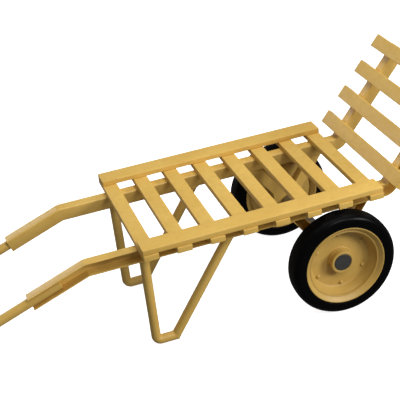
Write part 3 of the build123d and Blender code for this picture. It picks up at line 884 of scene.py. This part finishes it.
# %% Hub, bush and cap
cap_high = low_high("left_axle_cap")[1]
cap_face = cap_high[1] - wheel_middle
CAP_GAP = 1.2 * MM
cap_radius = cap_high[2] - axle_z - CAP_GAP
bush_low, bush_high = low_high("left_bush")
bush_radius = bush_high[2] - axle_z
HUB_BORE_GAP = 0.05 * MM
AXLE_GAP = 0.25 * MM
hub_bore = bush_radius + HUB_BORE_GAP
barrel = rounded([(hub_bore, hub_inner), (hub_bore, hub_nose),
                  (hub_radius, hub_nose), (hub_radius, hub_inner)],
                 np.array([0.8, 1.2, 3, 1]) * MM, 6)
CAP_DEPTH = 3 * MM
CAP_DISH = 0.7 * MM
POLE = 0.4 * MM  # ring that closes the middle of the cap
cap_reach = np.linspace(0, 1, 9)[::-1]
cap_dome = np.stack([POLE + (cap_radius - 2.4 * MM) * cap_reach,
                     cap_face - CAP_DISH + CAP_DISH * cap_reach ** 2], axis=1)
cap_edge = rounded([(cap_radius - 3 * MM, cap_face - CAP_DEPTH), (cap_radius, cap_face - CAP_DEPTH),
                    (cap_radius, cap_face), (cap_radius - 2 * MM, cap_face)],
                   np.array([0, 0.3, 1.1, 0]) * MM, 5, close=False)
cap_outline = np.vstack([[(POLE, cap_face - CAP_DEPTH)], cap_edge, cap_dome])
bush_wall = rounded([(axle_radius + AXLE_GAP, bush_low[1] - wheel_middle),
                     (axle_radius + AXLE_GAP, bush_high[1] - wheel_middle),
                     (bush_radius, bush_high[1] - wheel_middle), (bush_radius, bush_low[1] - wheel_middle)],
                    0.5 * MM, 3)
for name, side in SIDES.items():
    hub = turned(f"{name}_hub_barrel", barrel, side, wheel_middle, 120)
    finished(hub, f"{name}_wheel", wheel_paint, "painted_steel", f"{name}_hub")
    bush = turned(f"{name}_bronze_bush", bush_wall, side, wheel_middle, 96)
    finished(bush, f"{name}_wheel", bronze, "bush", f"{name}_bush")
    cap = turned(f"{name}_axle_end_cap", cap_outline, side, wheel_middle, 96, closed=False)
    finished(cap, "frame", enamel, "dark_cap", f"{name}_axle_cap")
print("hubs, bushes and caps made")

# %% [markdown]
# Six rivets hold the two discs together. Each has a round head outside and a flat tail behind. Coats of
# paint have filled the corner round the head, so the head is drawn a little wider than the bare rivet.

# %% Rivets
rivet_high = low_high("left_disc_rivets")[1]
RIVET_COUNT = 6
HEAD_RADIUS = 6.5 * MM
PAINT_COLLAR = 1.4 * MM
TAIL = 2 * MM
RIVET_POLE = 0.2 * MM
rivet_circle = rivet_high[2] - axle_z - HEAD_RADIUS
rivet_top = rivet_high[1] - wheel_middle
disc_front = disc_back + SHEET


def rivet_outline():
    """Half outline from the tail's middle round to the head's middle. The head is a full, steep dome:
    radius = r * cos(a) ** 0.7, height = h * sin(a) ** 0.8, where r takes in the collar of paint."""
    bend = np.linspace(0, math.pi / 2, 11)[1:-1]
    head = np.stack([(HEAD_RADIUS + PAINT_COLLAR) * np.cos(bend) ** 0.7,
                     disc_front + (rivet_top + PAINT_COLLAR - disc_front) * np.sin(bend) ** 0.8], axis=1)
    tail_edge = rounded([(2 * MM, inner_face - TAIL), (HEAD_RADIUS, inner_face - TAIL),
                         (HEAD_RADIUS, inner_face)], np.array([0, 0.8, 0]) * MM, 3, close=False)
    shank = [(HEAD_RADIUS * 0.6, inner_face + 0.1 * MM), (HEAD_RADIUS * 0.6, disc_front)]
    return np.vstack([[(RIVET_POLE, inner_face - TAIL)], tail_edge, shank,
                      [(HEAD_RADIUS + PAINT_COLLAR, disc_front + 0.02 * MM)], head,
                      [(RIVET_POLE, rivet_top + PAINT_COLLAR)]])


def rivet_ring(name, side):
    """Six turned rivets in one mesh, each a grid round its own centre:
    centre = axle + circle * (cos a, sin a), the first one straight above the axle."""
    outline = rivet_outline()
    turn = np.linspace(0, 2 * math.pi, 28, endpoint=False)
    place = np.radians(90 + np.arange(RIVET_COUNT) * 360 / RIVET_COUNT)[:, None, None]
    radius = outline[None, :, :1]
    across = axle_x + rivet_circle * np.cos(place) + radius * np.cos(turn)
    up = axle_z + rivet_circle * np.sin(place) + radius * np.sin(turn)
    out = side * (wheel_middle + outline[None, :, 1:]) + 0 * across
    return grid_piece(name, np.stack([across, out, up], axis=-1))


for name, side in SIDES.items():
    ring = rivet_ring(f"{name}_rivets", side)
    finished(ring, f"{name}_wheel", wheel_paint, "painted_steel", f"{name}_disc_rivets")
print("rivets made")

# %% [markdown]
# ## Axle, spacers and screws
# The axle and its spacers are plain turned parts, and their CAD meshes are already right. The spacers get
# eased edges, and each CAD piece that keeps its mesh gets its finish in place of the plain one.

# %% Turned parts
for name in SIDES:
    finished(eased(f"{name}_spacer", f"{name}_axle_spacer", FINE_EASE), "frame", oiled_steel, "bare_steel",
             f"{name}_spacer")

KEPT = {"axle": oiled_steel, "spacer_set_screws": zinc, "deck_screws": zinc, "strip_screws": zinc,
        "headboard_screws": zinc}
for node, material in KEPT.items():
    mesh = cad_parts[node].data
    mesh.materials.clear()
    mesh.materials.append(material)
print("kept CAD pieces:", sorted(KEPT))

# %% [markdown]
# ## Floor
# A product of this kind is shown on white. The floor is one large pale square that runs out of sight. Far
# from the lamps it would turn grey, so it also glows. It is hidden from the rays that light the barrow,
# because a glowing floor would light the undersides from below.

# %% Floor
FLOOR_HALF = 14.0
FLOOR_GLOW = 0.85
floor_mesh = bpy.data.meshes.new("floor")
floor_mesh.from_pydata([(-FLOOR_HALF, -FLOOR_HALF, 0), (FLOOR_HALF, -FLOOR_HALF, 0),
                        (FLOOR_HALF, FLOOR_HALF, 0), (-FLOOR_HALF, FLOOR_HALF, 0)], [], [(0, 1, 2, 3)])
floor = bpy.data.objects.new("floor", floor_mesh)
bpy.context.scene.collection.objects.link(floor)
floor_finish = Finish("pale_floor", Specular_IOR_Level=0.1)
floor_tone = floor_finish.noise(2.0, 2, 0.5)
floor_mesh.materials.append(floor_finish.set(
    Base_Color=floor_finish.blend(floor_tone, (0.93, 0.93, 0.93), (0.96, 0.96, 0.96)),
    Roughness=0.7 + floor_tone * 0.1))
floor_finish.shader.inputs["Emission Color"].default_value = (1, 1, 1, 1)
floor_finish.shader.inputs["Emission Strength"].default_value = FLOOR_GLOW
floor.visible_diffuse = False
floor.visible_glossy = False

# %% [markdown]
# ## Light
# Four broad lamps make soft shadows: a key lamp low on the right by the headboard, one above for the boards,
# one on the left for the far edges, and one high on the right that reaches into the open channels. The sky
# adds a weak even light. Only the camera sees a white backdrop, which a Light Path node picks for its rays.

# %% Light
SKY_STRENGTH = 0.18
BACKDROP_STRENGTH = 1.0
world = bpy.data.worlds.new("studio")
bpy.context.scene.world = world
world.use_nodes = True
sky_tree = world.node_tree
sky = sky_tree.nodes["Background"]
sky.inputs["Color"].default_value = (1.0, 1.0, 1.0, 1)
sky.inputs["Strength"].default_value = SKY_STRENGTH
backdrop = sky_tree.nodes.new("ShaderNodeBackground")
backdrop.inputs["Color"].default_value = (1.0, 1.0, 1.0, 1)
backdrop.inputs["Strength"].default_value = BACKDROP_STRENGTH
seen = sky_tree.nodes.new("ShaderNodeLightPath")
either = sky_tree.nodes.new("ShaderNodeMixShader")
sky_tree.links.new(seen.outputs["Is Camera Ray"], either.inputs["Fac"])
sky_tree.links.new(sky.outputs["Background"], either.inputs[1])
sky_tree.links.new(backdrop.outputs["Background"], either.inputs[2])
sky_tree.links.new(either.outputs["Shader"], sky_tree.nodes["World Output"].inputs["Surface"])


def soft_lamp(name, place, target, power, size):
    """Square area lamp at a place, facing a target."""
    lamp = bpy.data.lights.new(name, "AREA")
    lamp.energy = power
    lamp.size = size
    holder = bpy.data.objects.new(name, lamp)
    bpy.context.scene.collection.objects.link(holder)
    holder.location = place
    holder.rotation_euler = (Vector(target) - Vector(place)).to_track_quat("-Z", "Y").to_euler()
    print(name, power, "W")


soft_lamp("key_lamp", (3.6, -3.2, 2.1), (0, 0, 0.3), 125, 1.3)
soft_lamp("top_lamp", (0.6, 0.2, 4.6), (0, 0, 0.3), 100, 2.6)
soft_lamp("back_lamp", (-2.2, 4.2, 1.9), (0, 0, 0.4), 48, 2.2)
soft_lamp("front_lamp", (1.5, -3.7, 3.7), (0, 0, 0.3), 78, 1.6)

# %% [markdown]
# ## Camera
# The camera stands high on the right, level with the ends of the handles, and looks down over the deck. Its
# angle of view is narrow, as a long lens has, so edges that run together do so slowly. Its place is measured
# from the deck's right rear corner. Its turn is built from two directions that are made square.

# %% Camera
VIEW_ANGLE = 20.65
LOOKING = (0.22531, 0.84726, -0.48103)
UPWARDS = (0.24558, 0.42840, 0.86958)
FROM_CORNER = (-0.60326, -3.09749, 1.89557)
camera = bpy.data.cameras.new("camera")
camera.sensor_fit = "HORIZONTAL"
camera.angle = math.radians(VIEW_ANGLE)
viewer = bpy.data.objects.new("camera", camera)
bpy.context.scene.collection.objects.link(viewer)
strip_high = low_high("left_side_strip")[1]
near_corner = np.array([deck_rear, -strip_high[1], strip_high[2]])
looking = Vector(LOOKING).normalized()
upwards = Vector(UPWARDS).normalized()
across = looking.cross(upwards).normalized()
upwards = across.cross(looking)
stand = near_corner + np.array(FROM_CORNER)
viewer.matrix_world = Matrix((
    (across.x, upwards.x, -looking.x, stand[0]),
    (across.y, upwards.y, -looking.y, stand[1]),
    (across.z, upwards.z, -looking.z, stand[2]),
    (0, 0, 0, 1)))
bpy.context.scene.camera = viewer
bpy.context.scene.view_settings.view_transform = "Standard"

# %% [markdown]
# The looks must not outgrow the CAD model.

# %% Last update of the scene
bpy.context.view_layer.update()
